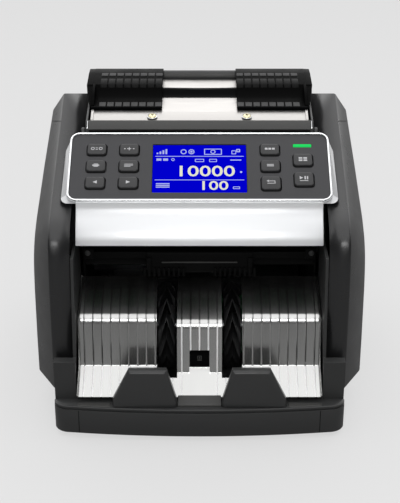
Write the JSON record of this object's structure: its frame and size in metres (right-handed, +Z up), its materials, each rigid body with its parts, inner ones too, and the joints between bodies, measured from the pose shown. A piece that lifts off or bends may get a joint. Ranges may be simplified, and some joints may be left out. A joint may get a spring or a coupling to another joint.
{
  "type": "banknote counting machine",
  "caption": "Desktop banknote counting machine with a top hopper, sloped control panel with display and keys, lifting front cover and a ribbed stacker pocket.",
  "frame": {"origin": "centre of the bounding box, on the surface that the feet stand on", "axes": "+Z up, -Y towards the front and the user, +X to the right seen from the front"},
  "size_m": [0.268, 0.244, 0.2475],
  "materials": {
    "black_plastic": "fine moulded texture",
    "gloss_black": "semi-gloss moulded",
    "charcoal_plastic": "fine spark texture",
    "panel_film": "satin film",
    "button_plastic": "satin",
    "silver_paint": "satin metallic paint",
    "chrome_trim": "polished",
    "hopper_steel": "brushed",
    "ribbed_stainless": "ribbed, brushed",
    "display_screen": "lit screen",
    "green_lens": "lit lens",
    "rubber": "matte",
    "brass_screw": "turned",
    "circuit_board": "solder mask",
    "zinc_plate": "zinc plated"
  },
  "bodies": {
    "root": {"base_tray": "black_plastic", "cover_hinge_rod": "zinc_plate", "drive_belt": "rubber", "exit_belt": "rubber", "front_bumper": "black_plastic", "front_left_foot": "rubber", "front_right_foot": "rubber", "guide_rail": "gloss_black", "hopper_frame": "black_plastic", "hopper_plate": "hopper_steel", "left_frame_plate": "zinc_plate", "left_note_stop": "gloss_black", "left_plate_screw": "brass_screw", "left_side_cover": "charcoal_plastic", "main_board": "circuit_board", "main_motor": "zinc_plate", "note_rest": "gloss_black", "pickup_belt": "rubber", "pocket_liner": "black_plastic", "power_inlet": "black_plastic", "power_supply": "zinc_plate", "rear_cover": "charcoal_plastic", "rear_left_foot": "rubber", "rear_right_foot": "rubber", "right_frame_plate": "zinc_plate", "right_note_stop": "gloss_black", "right_plate_screw": "brass_screw", "right_side_cover": "charcoal_plastic", "sensor_bar": "black_plastic", "stack_sensor": "gloss_black", "stacker_plate": "ribbed_stainless", "switch_frame": "black_plastic"},
    "front_cover": {"front_cover": "silver_paint", "panel_bezel": "chrome_trim", "control_panel": "panel_film", "display": "display_screen", "indicator_lens": "green_lens", "control_board": "circuit_board"},
    "left_note_guide": {"left_note_guide": "gloss_black"},
    "right_note_guide": {"right_note_guide": "gloss_black"},
    "power_switch": {"power_switch": "gloss_black"},
    "stacker": {"stacker_shaft": "zinc_plate", "left_stacker_wheel": "rubber", "right_stacker_wheel": "rubber"},
    "exit_roller": {"exit_roller": "rubber"},
    "feed_drum": {"feed_drum": "rubber"},
    "pickup_roller": {"pickup_roller": "rubber"},
    "motor_pulley": {"motor_pulley": "zinc_plate"},
    "button_left_a1": {"button_left_a1": "button_plastic"},
    "button_left_a2": {"button_left_a2": "button_plastic"},
    "button_left_b1": {"button_left_b1": "button_plastic"},
    "button_left_b2": {"button_left_b2": "button_plastic"},
    "button_left_c1": {"button_left_c1": "button_plastic"},
    "button_left_c2": {"button_left_c2": "button_plastic"},
    "button_right_a1": {"button_right_a1": "button_plastic"},
    "button_right_b1": {"button_right_b1": "button_plastic"},
    "button_right_c1": {"button_right_c1": "button_plastic"},
    "button_right_a2": {"button_right_a2": "button_plastic"},
    "button_right_b2": {"button_right_b2": "button_plastic"}
  },
  "joints": [
    {"name": "front_cover_lift", "type": "hinge", "parent": "root", "child": "front_cover", "pos_m": [0, 0.0122, 0.2156], "axis": [-1, 0, 0], "range_deg": [0, 50]},
    {"name": "left_guide_slide", "type": "slide", "parent": "root", "child": "left_note_guide", "axis": [1, 0, 0], "range_m": [0, 0.029]},
    {"name": "right_guide_slide", "type": "slide", "parent": "root", "child": "right_note_guide", "axis": [-1, 0, 0], "range_m": [0, 0.029]},
    {"name": "power_switch_rock", "type": "hinge", "parent": "root", "child": "power_switch", "pos_m": [-0.038, 0.1175, 0.048], "axis": [1, 0, 0], "range_deg": [-20, 0]},
    {"name": "feed_spin", "type": "hinge", "parent": "root", "child": "feed_drum", "pos_m": [0, 0, 0.162], "axis": [1, 0, 0], "continuous": true},
    {"name": "pickup_spin", "type": "hinge", "parent": "root", "child": "pickup_roller", "pos_m": [0, 0.026, 0.194], "axis": [1, 0, 0], "continuous": true},
    {"name": "exit_spin", "type": "hinge", "parent": "root", "child": "exit_roller", "pos_m": [0, -0.017, 0.122], "axis": [1, 0, 0], "continuous": true},
    {"name": "stacker_spin", "type": "hinge", "parent": "root", "child": "stacker", "pos_m": [0, -0.05, 0.067], "axis": [1, 0, 0], "continuous": true},
    {"name": "motor_spin", "type": "hinge", "parent": "root", "child": "motor_pulley", "pos_m": [0, 0.055, 0.094], "axis": [1, 0, 0], "continuous": true},
    {"name": "button_left_a1_press", "type": "slide", "parent": "front_cover", "child": "button_left_a1", "axis": [0, 0.5209, -0.8536], "range_m": [0, 0.001], "stiffness_N_per_m": 600},
    {"name": "button_left_a2_press", "type": "slide", "parent": "front_cover", "child": "button_left_a2", "axis": [0, 0.5209, -0.8536], "range_m": [0, 0.001], "stiffness_N_per_m": 600},
    {"name": "button_left_b1_press", "type": "slide", "parent": "front_cover", "child": "button_left_b1", "axis": [0, 0.5209, -0.8536], "range_m": [0, 0.001], "stiffness_N_per_m": 600},
    {"name": "button_left_b2_press", "type": "slide", "parent": "front_cover", "child": "button_left_b2", "axis": [0, 0.5209, -0.8536], "range_m": [0, 0.001], "stiffness_N_per_m": 600},
    {"name": "button_left_c1_press", "type": "slide", "parent": "front_cover", "child": "button_left_c1", "axis": [0, 0.5209, -0.8536], "range_m": [0, 0.001], "stiffness_N_per_m": 600},
    {"name": "button_left_c2_press", "type": "slide", "parent": "front_cover", "child": "button_left_c2", "axis": [0, 0.5209, -0.8536], "range_m": [0, 0.001], "stiffness_N_per_m": 600},
    {"name": "button_right_a1_press", "type": "slide", "parent": "front_cover", "child": "button_right_a1", "axis": [0, 0.5209, -0.8536], "range_m": [0, 0.001], "stiffness_N_per_m": 600},
    {"name": "button_right_b1_press", "type": "slide", "parent": "front_cover", "child": "button_right_b1", "axis": [0, 0.5209, -0.8536], "range_m": [0, 0.001], "stiffness_N_per_m": 600},
    {"name": "button_right_c1_press", "type": "slide", "parent": "front_cover", "child": "button_right_c1", "axis": [0, 0.5209, -0.8536], "range_m": [0, 0.001], "stiffness_N_per_m": 600},
    {"name": "button_right_a2_press", "type": "slide", "parent": "front_cover", "child": "button_right_a2", "axis": [0, 0.5209, -0.8536], "range_m": [0, 0.001], "stiffness_N_per_m": 600},
    {"name": "button_right_b2_press", "type": "slide", "parent": "front_cover", "child": "button_right_b2", "axis": [0, 0.5209, -0.8536], "range_m": [0, 0.001], "stiffness_N_per_m": 600}
  ],
  "couplings": [
    {"joint": "pickup_spin", "follows": "feed_spin", "ratio": 1},
    {"joint": "exit_spin", "follows": "feed_spin", "ratio": 1.3333},
    {"joint": "stacker_spin", "follows": "feed_spin", "ratio": 1.1538},
    {"joint": "motor_spin", "follows": "feed_spin", "ratio": 1.6667}
  ]
}
